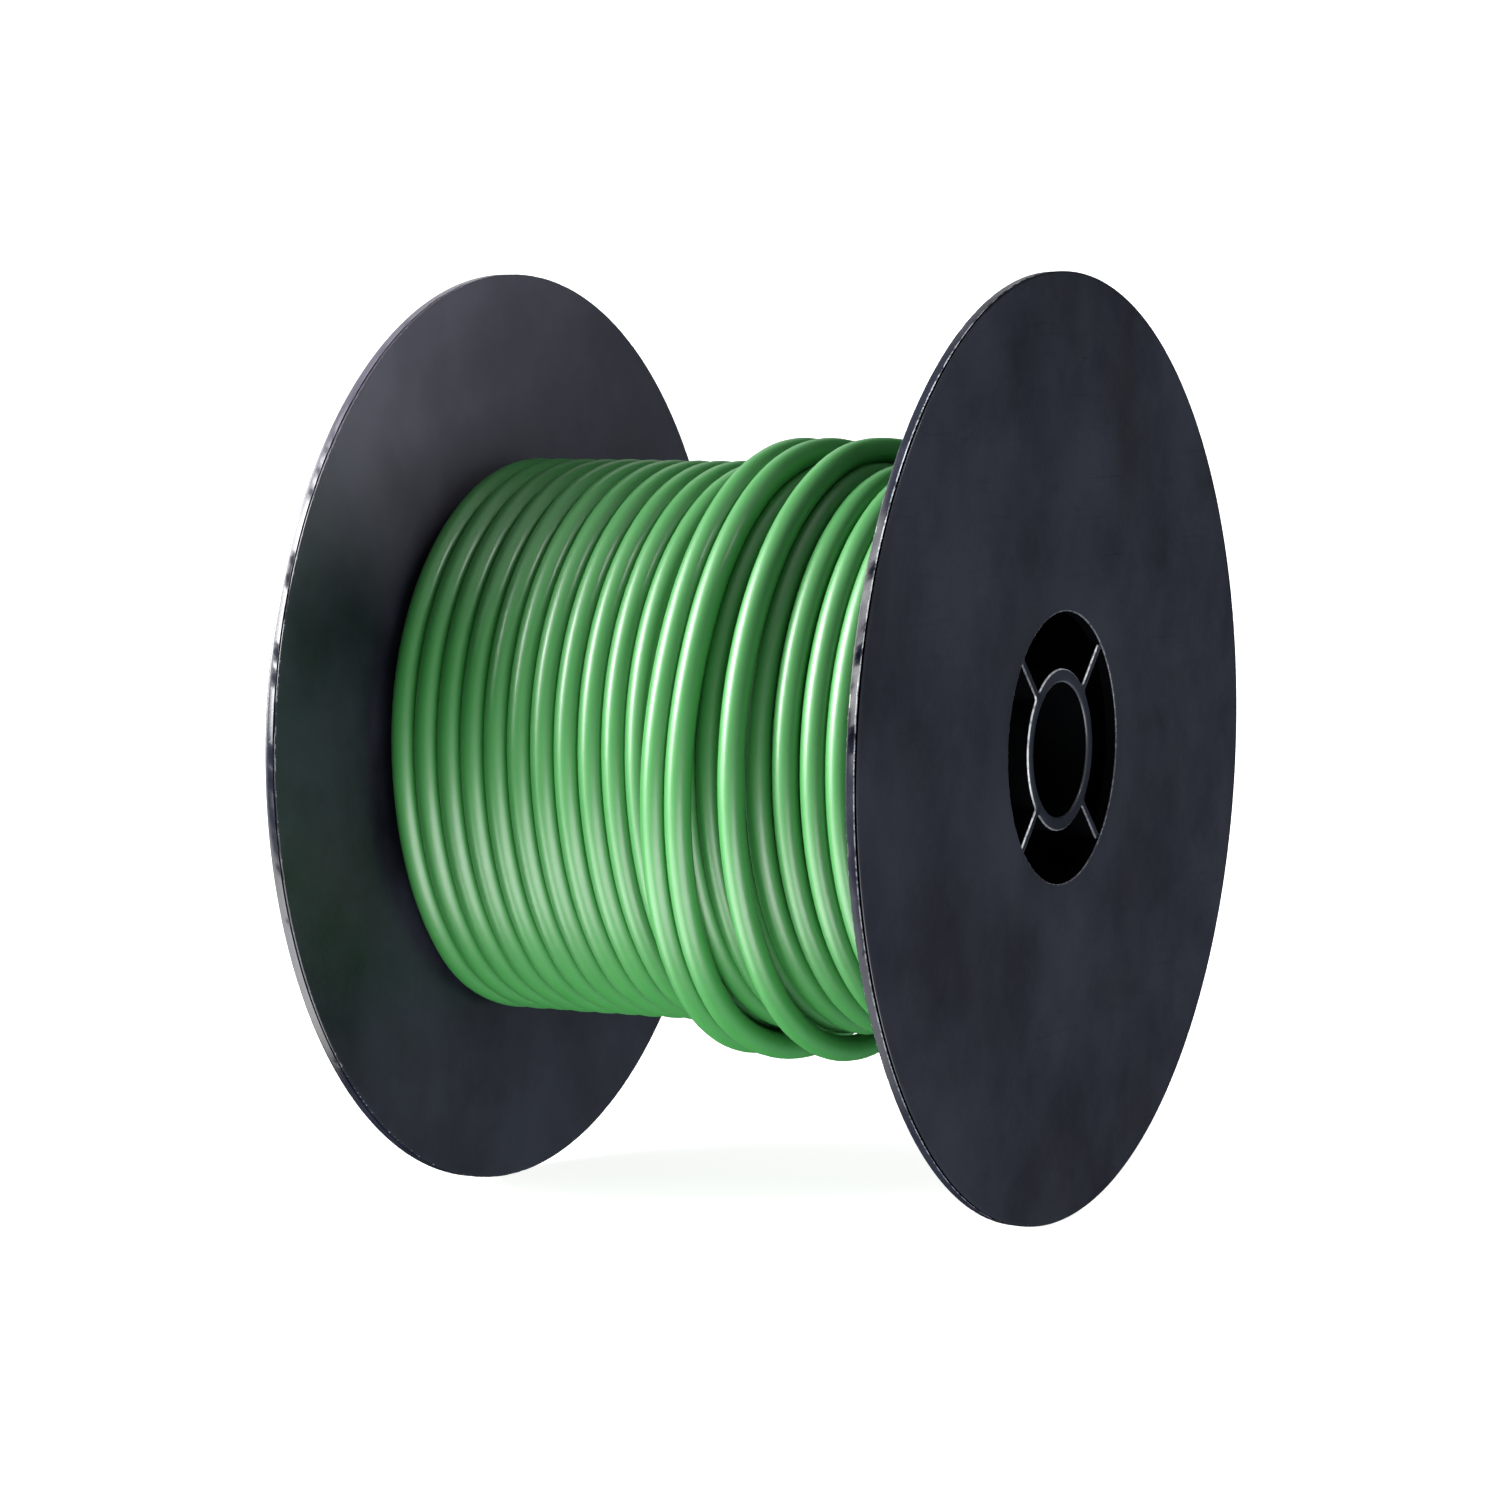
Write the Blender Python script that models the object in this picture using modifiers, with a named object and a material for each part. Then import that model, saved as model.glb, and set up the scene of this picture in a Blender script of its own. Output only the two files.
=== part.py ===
# Plastic wire spool with a winding of PVC-insulated stranded wire.
# Metres, +Z up. The spool lies on its two flange rims with its axis along Y.
# Origin: centre of the spool. The near flange is at -Y, the far flange at +Y.
import math

import bmesh
import bpy
from mathutils import Matrix, Vector

MM = 0.001

# ---------------------------------------------------------------- spool, mm
FLANGE_D = 114.3        # across the flats of the faceted rim
WIDTH = 76.6            # outer face to outer face
FLANGE_T = 1.5          # flange thickness
RIM_EDGE = 0.3          # bevel on the rim's two edges
OPENING_R = 16.55       # hole in the flange round the arbor ring
BARREL_R = 22.4         # outside of the barrel that the wire is wound on
BARREL_WALL = 1.6
ROOT = 0.4              # bevel where the barrel meets the flange
ARBOR_R = 9.8           # outside of the arbor tube
BORE_R = 8.2            # bore of the arbor tube
RIB_T = 1.0             # four ribs between arbor tube and barrel
HUB_RECESS = 0.45       # arbor tube and ribs sit this far behind the outer face
JOINT_GAP = 0.15        # each half stops this far from the middle plane
SPIGOT_L = 5.0          # spigot of the near half, inside the far half's barrel
SPIGOT_WALL = 0.9
SPIGOT_GAP = 0.3
RIM_SEGMENTS = 72       # a flat facet lies at the bottom
TUBE_SEGMENTS = 48

# ----------------------------------------------------------------- wire, mm
WIRE_D = 3.2            # over the insulation
WIRE_CAD_D = 2.9        # tubes here are thinner, so that neighbours keep a gap
CORE_BORE_D = 1.74      # bore of the insulation at the cut end
STRAND_D = 0.54         # seven copper strands
STRAND_PITCH_R = 0.57   # centres of the six outer strands round the middle one
STRIP_LENGTH = 4.5      # bare strands at the free end
STRAND_BURIED = 3.0     # strands reach this far into the insulation
WINDING_Y0 = -36.1      # first full turn's edge, near flange side
WINDING_Y1 = 35.4
INNER_LAYERS_R = 31.0   # mean outside of the three inner layers
INNER_LAYERS_Z = -0.35
OUTER_LAYER_IN_R = 31.4
OUTER_LAYER_IN_Z = -0.4
OUTER_LAYER_R = 34.0    # mean outside of the fourth layer
OUTER_LAYER_Z = -0.8    # the fourth layer hangs a little low

# Route of the loose turns over the fourth layer: angle travelled in degrees
# (0 at -X, 90 at the bottom, 180 at +X, 270 at the top), place along the
# axis and distance from the axis in mm. Three turns and a tucked free end.
ROUTE = [
    (-180, -33.2, 37.0), (-150, -26.6, 36.7),
    (-120, -18.0, 36.2),
    (-90, -13.0, 35.5), (-64, -12.65, 35.35), (-41, -12.6, 35.7),
    (-20, -12.42, 36.05), (0, -12.22, 36.45), (20, -12.02, 36.85),
    (38, -11.82, 37.15), (56, -11.57, 37.4), (90, -11.25, 37.7),
    (125, -10.9, 38.4), (150, -10.5, 39.8), (172, -10.0, 40.2),
    (195, -9.3, 39.3), (220, -8.3, 37.4), (245, -7.3, 36.0),
    (270, -6.45, 35.42), (296, -6.28, 35.48), (319, -6.2, 35.7),
    (340, -5.97, 36.05), (360, -5.37, 36.45), (381, -4.6, 36.85),
    (399, -3.82, 37.15), (418, -3.0, 37.35), (440, -2.75, 37.75),
    (456, -2.75, 38.55), (466, -2.75, 39.35), (476, -2.78, 40.1),
    (490, -2.8, 40.5), (512, -2.9, 39.5),
    (540, -3.0, 37.4), (570, -3.1, 36.4), (600, -3.2, 35.8),
    (630, -3.05, 35.42), (656, -3.02, 35.48), (679, -2.98, 35.7),
    (700, -2.78, 36.05), (720, -2.2, 36.45), (741, -1.38, 36.85),
    (759, -0.62, 37.15), (778, 0.2, 37.3), (800, 0.5, 37.4),
    (818, 0.3, 37.25), (835, -1.0, 37.15), (852, -3.6, 37.0),
    (870, -7.0, 36.9), (888, -10.6, 37.05), (905, -13.8, 36.95),
    (925, -17.2, 36.6),
]
TURN_BREAKS = (-178.0, 160.0, 520.0, 806.0, 925.0)   # ends of the four tubes
TURN_STEP = 11.0        # degrees between a tube's points
TURN_END_GAP = 0.3      # between one tube's end and the next


# ------------------------------------------------------------------ helpers
for old in list(bpy.data.objects):
    bpy.data.objects.remove(old, do_unlink=True)

parts = bpy.data.collections.new("wire_spool")
cutters = bpy.data.collections.new("cutters")
for coll in (parts, cutters):
    bpy.context.scene.collection.children.link(coll)


def material(name, colour, roughness, metallic=0.0):
    mat = bpy.data.materials.new(name)
    mat.use_nodes = True
    bsdf = mat.node_tree.nodes["Principled BSDF"]
    bsdf.inputs["Base Color"].default_value = (*colour, 1.0)
    bsdf.inputs["Roughness"].default_value = roughness
    bsdf.inputs["Metallic"].default_value = metallic
    return mat


PLASTIC_NEAR = material("black_plastic_near", (0.021, 0.025, 0.033), 0.45)
PLASTIC_FAR = material("black_plastic_far", (0.019, 0.023, 0.030), 0.45)
GREEN_INNER = material("green_pvc_inner", (0.06, 0.30, 0.08), 0.30)
GREEN_OUTER = material("green_pvc_outer", (0.08, 0.36, 0.10), 0.28)
GREEN_LOOSE = material("green_pvc_loose", (0.09, 0.38, 0.11), 0.26)
COPPER = material("copper", (0.90, 0.45, 0.25), 0.28, 1.0)


def mesh_object(name, mesh, mat=None, coll=parts):
    obj = bpy.data.objects.new(name, mesh)
    coll.objects.link(obj)
    if mat is not None:
        mesh.materials.append(mat)
    return obj


def turned(name, profile, segments, turn_deg, mat=None, coll=parts):
    """A closed outline (r, y) in mm, turned about Y. It runs down its outer
    side when Y points up, and the first facet edge starts at turn_deg."""
    mesh = bpy.data.meshes.new(name)
    points = [(r * MM, 0.0, y * MM) for r, y in profile]
    edges = [(i, (i + 1) % len(points)) for i in range(len(points))]
    mesh.from_pydata(points, edges, [])
    obj = mesh_object(name, mesh, mat, coll)
    screw = obj.modifiers.new("Screw", "SCREW")
    screw.axis = "Z"
    screw.angle = 2 * math.pi
    screw.screw_offset = 0.0
    screw.steps = segments
    screw.render_steps = segments
    screw.use_merge_vertices = True
    screw.merge_threshold = 0.00001
    screw.use_normal_calculate = True
    # the turning axis becomes +Y; local +X then lies at turn_deg
    obj.matrix_world = (
        Matrix.Rotation(math.radians(-90), 4, "X")
        @ Matrix.Rotation(math.radians(turn_deg), 4, "Z")
    )
    return obj


def baked(obj):
    """The object's evaluated mesh in world space, with no modifiers left."""
    bpy.context.view_layer.update()
    deps = bpy.context.evaluated_depsgraph_get()
    mesh = bpy.data.meshes.new_from_object(obj.evaluated_get(deps))
    mesh.transform(obj.matrix_world)
    obj.modifiers.clear()
    obj.data = mesh
    obj.matrix_world = Matrix.Identity(4)
    bm = bmesh.new()
    bm.from_mesh(mesh)
    bmesh.ops.remove_doubles(bm, verts=bm.verts, dist=1e-6)
    bmesh.ops.recalc_face_normals(bm, faces=bm.faces)
    bm.to_mesh(mesh)
    bm.free()
    return obj


def cylinder(name, radius, y0, y1, segments, z=0.0, coll=cutters):
    mesh = bpy.data.meshes.new(name)
    bm = bmesh.new()
    bmesh.ops.create_cone(
        bm, cap_ends=True, cap_tris=False, segments=segments,
        radius1=radius * MM, radius2=radius * MM, depth=(y1 - y0) * MM,
        matrix=Matrix.Translation((0, (y0 + y1) / 2 * MM, z * MM))
        @ Matrix.Rotation(math.radians(90), 4, "X")
        @ Matrix.Rotation(math.radians(180.0 / segments), 4, "Z"),
    )
    bm.to_mesh(mesh)
    bm.free()
    obj = mesh_object(name, mesh, None, coll)
    hide(obj)
    return obj


def box(name, size, centre, turn_deg=0.0, coll=cutters):
    mesh = bpy.data.meshes.new(name)
    bm = bmesh.new()
    bmesh.ops.create_cube(
        bm, size=1.0,
        matrix=Matrix.Rotation(math.radians(turn_deg), 4, "Y")
        @ Matrix.Translation([c * MM for c in centre])
        @ Matrix.Diagonal([s * MM for s in size] + [1.0]),
    )
    bm.to_mesh(mesh)
    bm.free()
    obj = mesh_object(name, mesh, None, coll)
    hide(obj)
    return obj


def hide(obj):
    obj.hide_render = True
    obj.display_type = "WIRE"


def boolean(obj, other, operation):
    mod = obj.modifiers.new(operation.title(), "BOOLEAN")
    mod.operation = operation
    mod.solver = "EXACT"
    mod.object = other


def shade(obj, degrees=30.0):
    obj.data.shade_smooth()
    obj.data.set_sharp_from_angle(angle=math.radians(degrees))


# -------------------------------------------------------------- spool halves
R = FLANGE_D / 2 / math.cos(math.pi / RIM_SEGMENTS)   # facets touch FLANGE_D
HALF = WIDTH / 2
INNER = HALF - FLANGE_T                                # flange's inner face
BARREL_IN = BARREL_R - BARREL_WALL
SPIGOT_OUT = BARREL_IN - SPIGOT_GAP
SPIGOT_IN = SPIGOT_OUT - SPIGOT_WALL


def half_outline(spigot):
    """Half of the spool as (r, y), with its flange's outer face at y = HALF
    and the middle plane at y = 0, going round from the top of the rim."""
    outline = [
        (R - RIM_EDGE, HALF), (R, HALF - RIM_EDGE),
        (R, INNER + RIM_EDGE), (R - RIM_EDGE, INNER),
        (BARREL_R + ROOT, INNER), (BARREL_R, INNER - ROOT),
        (BARREL_R, JOINT_GAP),
    ]
    if spigot:
        outline += [
            (SPIGOT_OUT, JOINT_GAP), (SPIGOT_OUT, -SPIGOT_L),
            (SPIGOT_IN, -SPIGOT_L), (SPIGOT_IN, 6.0),
            (BARREL_IN, 6.0 + BARREL_IN - SPIGOT_IN),
        ]
    else:
        outline += [(BARREL_IN, JOINT_GAP)]
    outline += [(BARREL_IN, INNER), (OPENING_R, INNER), (OPENING_R, HALF)]
    return outline


def spool_half(name, near, mat):
    side = -1.0 if near else 1.0
    profile = [(r, side * y) for r, y in half_outline(spigot=near)]
    if near:
        profile.reverse()
    half = turned(name, profile, RIM_SEGMENTS, 180.0 / RIM_SEGMENTS, mat)
    baked(half)
    hub_end = side * (HALF - HUB_RECESS)
    rib_start = side * (JOINT_GAP if near else SPIGOT_L + 0.6)
    tube = cylinder(
        name + "_arbor", ARBOR_R, *sorted((side * JOINT_GAP, hub_end)),
        TUBE_SEGMENTS)
    boolean(half, tube, "UNION")
    rib_len = abs(hub_end - rib_start)
    for k, turn in enumerate((45.0, 135.0)):
        rib = box(
            "%s_rib_%d" % (name, k), (2 * (BARREL_IN + 0.6), rib_len, RIB_T),
            (0, (hub_end + rib_start) / 2, 0), turn)
        boolean(half, rib, "UNION")
    bore = cylinder(name + "_bore", BORE_R, -60, 60, TUBE_SEGMENTS)
    boolean(half, bore, "DIFFERENCE")
    return half


spool_half("near_spool_half", True, PLASTIC_NEAR)
spool_half("far_spool_half", False, PLASTIC_FAR)


# ------------------------------------------------------------------- winding
def winding(name, out_r, out_z, in_r, in_z, mat):
    body = cylinder(name, out_r, WINDING_Y0, WINDING_Y1, 64, out_z, parts)
    body.hide_render = False
    body.display_type = "TEXTURED"
    body.data.materials.append(mat)
    hole = cylinder(name + "_hole", in_r, -60, 60, 64, in_z)
    boolean(body, hole, "DIFFERENCE")
    return body


winding("wire_inner_layers", INNER_LAYERS_R, INNER_LAYERS_Z,
        BARREL_R + 0.35, 0.0, GREEN_INNER)
winding("wire_outer_layer", OUTER_LAYER_R, OUTER_LAYER_Z,
        OUTER_LAYER_IN_R, OUTER_LAYER_IN_Z, GREEN_OUTER)


# --------------------------------------------------------------- loose turns
def hermite(keys, u, column):
    """Smooth curve through the keys' values, with slopes from neighbours."""
    n = len(keys)
    i = 0
    while i < n - 2 and u > keys[i + 1][0]:
        i += 1

    def slope(j):
        a, b = max(j - 1, 0), min(j + 1, n - 1)
        return (keys[b][column] - keys[a][column]) / (keys[b][0] - keys[a][0])

    h = keys[i + 1][0] - keys[i][0]
    s = (u - keys[i][0]) / h
    v0, v1 = keys[i][column], keys[i + 1][column]
    return (
        (2 * s**3 - 3 * s**2 + 1) * v0 + (s**3 - 2 * s**2 + s) * h * slope(i)
        + (-2 * s**3 + 3 * s**2) * v1 + (s**3 - s**2) * h * slope(i + 1)
    )


def route_point(u):
    y = hermite(ROUTE, u, 1)
    r = hermite(ROUTE, u, 2)
    a = math.radians(u)
    return Vector((-r * math.cos(a) * MM, y * MM, -r * math.sin(a) * MM))


def degrees_for(length_mm, r=36.5):
    return math.degrees(length_mm / r)


def tube(name, points, diameter, mat):
    curve = bpy.data.curves.new(name, "CURVE")
    curve.dimensions = "3D"
    curve.bevel_depth = diameter / 2 * MM
    curve.bevel_resolution = 2
    curve.use_fill_caps = True
    spline = curve.splines.new("POLY")
    spline.points.add(len(points) - 1)
    for point, co in zip(spline.points, points):
        point.co = (*co, 1.0)
    curve.materials.append(mat)
    obj = bpy.data.objects.new(name, curve)
    parts.objects.link(obj)
    return obj


def turn_points(u0, u1):
    count = max(2, int(round((u1 - u0) / TURN_STEP)) + 1)
    return [route_point(u0 + (u1 - u0) * k / (count - 1)) for k in range(count)]


NAMES = ("loose_turn_1", "loose_turn_2", "loose_turn_3", "wire_free_end")
half_gap = degrees_for(TURN_END_GAP) / 2
strip = degrees_for(STRIP_LENGTH)
end_u = TURN_BREAKS[-1] - strip          # the insulation stops here
for k, name in enumerate(NAMES):
    u0 = TURN_BREAKS[k] + (half_gap if k else 0.0)
    u1 = TURN_BREAKS[k + 1] - half_gap
    if name != "wire_free_end":
        tube(name, turn_points(u0, u1), WIRE_CAD_D, GREEN_LOOSE)
        continue
    u1 = end_u
    rough = tube(name, turn_points(u0, u1), WIRE_CAD_D, GREEN_LOOSE)
    bpy.context.view_layer.update()
    deps = bpy.context.evaluated_depsgraph_get()
    mesh = bpy.data.meshes.new_from_object(rough.evaluated_get(deps))
    bm = bmesh.new()
    bm.from_mesh(mesh)
    bmesh.ops.remove_doubles(bm, verts=bm.verts, dist=1e-6)
    bm.to_mesh(mesh)
    bm.free()
    bpy.data.objects.remove(rough, do_unlink=True)
    jacket = mesh_object(name, mesh)
    jacket.name = name

# The strands run straight on from the insulation's end face.
tip = route_point(end_u)
before = route_point(end_u - degrees_for(1.0))
along = (tip - before).normalized()
side_dir = along.cross(Vector((0, 1, 0))).normalized()
up_dir = along.cross(side_dir).normalized()
basis = Matrix((
    (side_dir.x, up_dir.x, along.x, tip.x),
    (side_dir.y, up_dir.y, along.y, tip.y),
    (side_dir.z, up_dir.z, along.z, tip.z),
    (0, 0, 0, 1),
))

core_mesh = bpy.data.meshes.new("core_bore")
bm = bmesh.new()
bmesh.ops.create_cone(
    bm, cap_ends=True, segments=16, radius1=CORE_BORE_D / 2 * MM + 0.00012,
    radius2=CORE_BORE_D / 2 * MM + 0.00012,
    depth=(STRAND_BURIED + 0.4 + 2.0) * MM,
    matrix=basis @ Matrix.Translation((0, 0, (2.0 - STRAND_BURIED - 0.4) / 2 * MM)))
bm.to_mesh(core_mesh)
bm.free()
core = mesh_object("core_bore", core_mesh, None, cutters)
hide(core)
boolean(jacket, core, "DIFFERENCE")

for k in range(7):
    angle = math.radians(60 * k)
    off = 0.0 if k == 6 else STRAND_PITCH_R
    mesh = bpy.data.meshes.new("copper_strand_%d" % (k + 1))
    bm = bmesh.new()
    bmesh.ops.create_cone(
        bm, cap_ends=True, segments=10, radius1=STRAND_D / 2 * MM,
        radius2=STRAND_D / 2 * MM,
        depth=(STRIP_LENGTH + STRAND_BURIED) * MM,
        matrix=basis @ Matrix.Translation((
            off * math.cos(angle) * MM, off * math.sin(angle) * MM,
            (STRIP_LENGTH - STRAND_BURIED) / 2 * MM)))
    bm.to_mesh(mesh)
    bm.free()
    mesh_object("copper_strand_%d" % (k + 1), mesh, COPPER)

for obj in parts.objects:
    if obj.type == "MESH":
        shade(obj)
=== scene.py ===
import math

import bmesh
import bpy
import numpy as np
from mathutils import Matrix, Vector


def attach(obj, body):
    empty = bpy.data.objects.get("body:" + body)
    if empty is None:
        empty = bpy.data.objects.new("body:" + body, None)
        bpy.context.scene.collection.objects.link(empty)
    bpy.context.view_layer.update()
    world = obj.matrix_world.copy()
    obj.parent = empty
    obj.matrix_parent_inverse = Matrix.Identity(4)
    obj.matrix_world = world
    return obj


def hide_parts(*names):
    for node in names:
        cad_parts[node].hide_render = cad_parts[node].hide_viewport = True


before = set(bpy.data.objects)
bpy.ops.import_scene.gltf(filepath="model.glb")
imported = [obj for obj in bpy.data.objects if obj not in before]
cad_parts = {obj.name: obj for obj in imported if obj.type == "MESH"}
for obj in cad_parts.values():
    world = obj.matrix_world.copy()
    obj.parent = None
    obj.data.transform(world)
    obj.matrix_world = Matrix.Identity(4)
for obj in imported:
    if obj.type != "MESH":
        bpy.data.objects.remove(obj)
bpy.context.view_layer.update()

MM = 0.001

# ------------------------------------------------------------------- camera
cam_data = bpy.data.cameras.new("camera")
cam_data.sensor_width = 36.0
cam_data.lens = 116.42
cam_data.clip_start = 0.01
cam_data.clip_end = 30.0
cam = bpy.data.objects.new("camera", cam_data)
bpy.context.scene.collection.objects.link(cam)
cam.matrix_world = Matrix((
    (0.4525813, 0.0770541, -0.8883878, -0.5334928),
    (-0.8917231, 0.0391077, -0.4508885, -0.2669173),
    (0.0, 0.9962596, 0.0864104, 0.0502136),
    (0.0, 0.0, 0.0, 1.0),
))
bpy.context.scene.camera = cam

# ---------------------------------------------------------------- sizes, mm
FLANGE_R = 57.15
HALF = 38.3              # middle plane to outer face
FLANGE_T = 1.5
INNER = HALF - FLANGE_T
OPENING_R = 16.35
OPENING_UP = 0.25         # the opening sits this much above the rim's centre
BARREL_R = 22.4
BARREL_IN = 20.8
ARBOR_R = 9.75
BORE_R = 8.12
RIB_T = 1.0
HUB_RECESS = 0.34
JOINT_GAP = 0.15
SPIGOT_L = 5.0
SPIGOT_OUT = 20.5
SPIGOT_IN = 19.6

WIRE_R = 1.592           # radius of the jacket's mesh, so that turns just clear
CORE_BORE_R = 0.90
STRAND_R = 0.27
STRAND_PITCH_R = 0.57
STRIP_LENGTH = 4.5
STRAND_BURIED = 3.0


def link(obj):
    bpy.context.scene.collection.objects.link(obj)
    return obj


def mesh_from(name, verts, faces):
    mesh = bpy.data.meshes.new(name)
    mesh.from_pydata([tuple(v) for v in verts], [], [tuple(f) for f in faces])
    mesh.update()
    return mesh


def smoothstep(t):
    t = np.clip(t, 0.0, 1.0)
    return t * t * (3.0 - 2.0 * t)


# ---------------------------------------------------------- wire centreline
# Four layers of 22 turns. The wire runs down at the front (angle u in
# degrees: 0 at -X, 90 bottom, 180 at +X, 270 top). Turns lie parallel and
# step over by one place in a crossover zone at the back.
PITCH = 3.19
LAYER_1 = [-34.95 + PITCH * k for k in range(22)]
LAYER_2 = [33.75 - PITCH * k for k in range(22)]
LAYER_3 = [-34.95 + PITCH * k for k in range(22)]
LAYER_4 = [34.0 - 3.2 * k for k in range(16)] + [
    -17.6, -21.2, -24.45, -27.7, -30.95, -34.2]
TURN_Y = np.array(LAYER_1 + LAYER_2 + LAYER_3 + LAYER_4)
TURN_R = np.repeat([24.0, 26.8, 29.6, 33.15], 22)
TURN_Z = np.repeat([0.0, -0.1, -0.3, -0.68], 22)
CROSS_BUMP = np.repeat([0.0, 0.45, 0.85, 0.75], 22)
CROSS_0, CROSS_1 = 150.0, 210.0


def wound(u):
    """Points on the wound layers for an array of angles in degrees."""
    j = np.floor((u + CROSS_0) / 360.0 + 1e-9).astype(int)
    j = np.clip(j, 0, len(TURN_Y) - 1)
    nxt = np.minimum(j + 1, len(TURN_Y) - 1)
    v = u - 360.0 * j
    t = np.clip((v - CROSS_0) / (CROSS_1 - CROSS_0), 0.0, 1.0)
    s = smoothstep(t)
    y = TURN_Y[j] + (TURN_Y[nxt] - TURN_Y[j]) * s
    r = TURN_R[j] + (TURN_R[nxt] - TURN_R[j]) * s
    z = TURN_Z[j] + (TURN_Z[nxt] - TURN_Z[j]) * s
    r = r + CROSS_BUMP[j] * np.sin(math.pi * t) ** 2
    # hand-tight winding: each turn wanders by a few hundredths
    y = y + 0.022 * np.sin(np.radians(u * 0.713)) + 0.018 * np.sin(np.radians(u * 1.37 + 40))
    r = r + 0.020 * np.sin(np.radians(u * 0.391 + 20)) + 0.015 * np.sin(np.radians(u * 1.81))
    # the fourth layer bends a little along the axis at the front, and its
    # turns under the loose ones sag at the bottom
    front = (u + CROSS_0) % 360.0 - CROSS_0
    fourth = j >= 66
    bend = -0.40 * np.exp(-((front - 15.0) / 28.0) ** 2) + 0.40 * np.exp(-((front - 60.0) / 13.0) ** 2)
    y = y + bend * fourth * smoothstep((80.0 - j) / 5.0)
    sag = 0.48 * np.exp(-((front - 97.0) / 24.0) ** 2)
    z = z - sag * fourth * smoothstep((j - 74.0) / 3.0)
    a = np.radians(u)
    return np.stack([-r * np.cos(a), y, -r * np.sin(a) + z], -1)


# The loose turns over the fourth layer: angle, place along the axis,
# distance from the axis. The first keys climb off the last wound turn.
ROUTE = [
    (-246, -34.2, 33.78), (-232, -34.2, 33.72), (-212, -34.2, 34.85),
    (-195, -34.0, 36.2), (-180, -33.2, 37.0), (-150, -26.6, 36.7),
    (-120, -18.0, 36.2),
    (-90, -13.0, 35.5), (-64, -12.65, 35.35), (-41, -12.6, 35.7),
    (-20, -12.42, 36.05), (0, -12.22, 36.45), (20, -12.02, 36.85),
    (38, -11.82, 37.15), (56, -11.57, 37.4), (90, -11.25, 37.7),
    (125, -10.9, 38.4), (150, -10.5, 39.8), (172, -10.0, 40.2),
    (195, -9.3, 39.3), (220, -8.3, 37.4), (245, -7.3, 36.0),
    (270, -6.45, 35.42), (296, -6.28, 35.48), (319, -6.2, 35.7),
    (340, -5.97, 36.05), (360, -5.37, 36.45), (381, -4.6, 36.85),
    (399, -3.82, 37.15), (418, -3.0, 37.35), (440, -2.75, 37.75),
    (456, -2.75, 38.55), (466, -2.75, 39.35), (476, -2.78, 40.1),
    (490, -2.8, 40.5), (512, -2.9, 39.5),
    (540, -3.0, 37.4), (570, -3.1, 36.4), (600, -3.2, 35.8),
    (630, -3.05, 35.42), (656, -3.02, 35.48), (679, -2.98, 35.7),
    (700, -2.78, 36.05), (720, -2.2, 36.45), (741, -1.38, 36.85),
    (759, -0.62, 37.15), (778, 0.2, 37.3), (800, 0.5, 37.4),
    (818, 0.3, 37.25), (835, -1.0, 37.15), (852, -3.6, 37.0),
    (870, -7.0, 36.9), (888, -10.6, 37.05), (905, -13.8, 36.95),
    (925, -17.2, 36.6),
]
ROUTE_START = -232.0
ROUTE_TURN = 88 * 360.0 - 360.0      # route angle 0 is one turn after the
                                     # front of the last wound turn, less 360


def hermite(keys, u):
    k = np.array(keys, float)
    t = k[:, 0]
    i = np.clip(np.searchsorted(t, u) - 1, 0, len(t) - 2)
    h = t[i + 1] - t[i]
    s = (u - t[i]) / h
    out = []
    for c in (1, 2):
        v = k[:, c]
        m = np.empty(len(t))
        m[1:-1] = (v[2:] - v[:-2]) / (t[2:] - t[:-2])
        m[0] = (v[1] - v[0]) / (t[1] - t[0])
        m[-1] = (v[-1] - v[-2]) / (t[-1] - t[-2])
        out.append(
            (2 * s**3 - 3 * s**2 + 1) * v[i] + (s**3 - 2 * s**2 + s) * h * m[i]
            + (-2 * s**3 + 3 * s**2) * v[i + 1] + (s**3 - s**2) * h * m[i + 1])
    return out


def loose(u):
    y, r = hermite(ROUTE, u)
    a = np.radians(u)
    return np.stack([-r * np.cos(a), y, -r * np.sin(a)], -1)


END_U = 925.0 - math.degrees(STRIP_LENGTH / 36.5)
LAST_WOUND = 87 * 360.0
u_inner = np.arange(-150.0, 66 * 360.0 - 160.0, 12.0)
u_outer = np.arange(66 * 360.0 - 160.0, LAST_WOUND + 360.0 + ROUTE_START - 2.0, 3.75)
u_loose = np.linspace(ROUTE_START, END_U, int((END_U - ROUTE_START) / 3.5))
centre = np.concatenate([wound(u_inner), wound(u_outer), loose(u_loose)])
angle = np.concatenate([u_inner, u_outer, u_loose])
seg = np.linalg.norm(np.diff(centre, axis=0), axis=1)
along = np.concatenate([[0.0], np.cumsum(seg)])

# frame along the wire: tangent, outward and sideways
tangent = np.gradient(centre, axis=0)
tangent /= np.linalg.norm(tangent, axis=1)[:, None]
a = np.radians(angle)
outward = np.stack([-np.cos(a), np.zeros_like(a), -np.sin(a)], -1)
side = np.cross(tangent, outward)
side /= np.linalg.norm(side, axis=1)[:, None]
outward = np.cross(side, tangent)

SIDES = 18
phi = np.linspace(0.0, 2 * math.pi, SIDES, endpoint=False) + math.pi   # seam inside


def ring(p, e, s, radius):
    return (p[None, :] + radius * (np.cos(phi)[:, None] * e[None, :]
                                   + np.sin(phi)[:, None] * s[None, :]))


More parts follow.
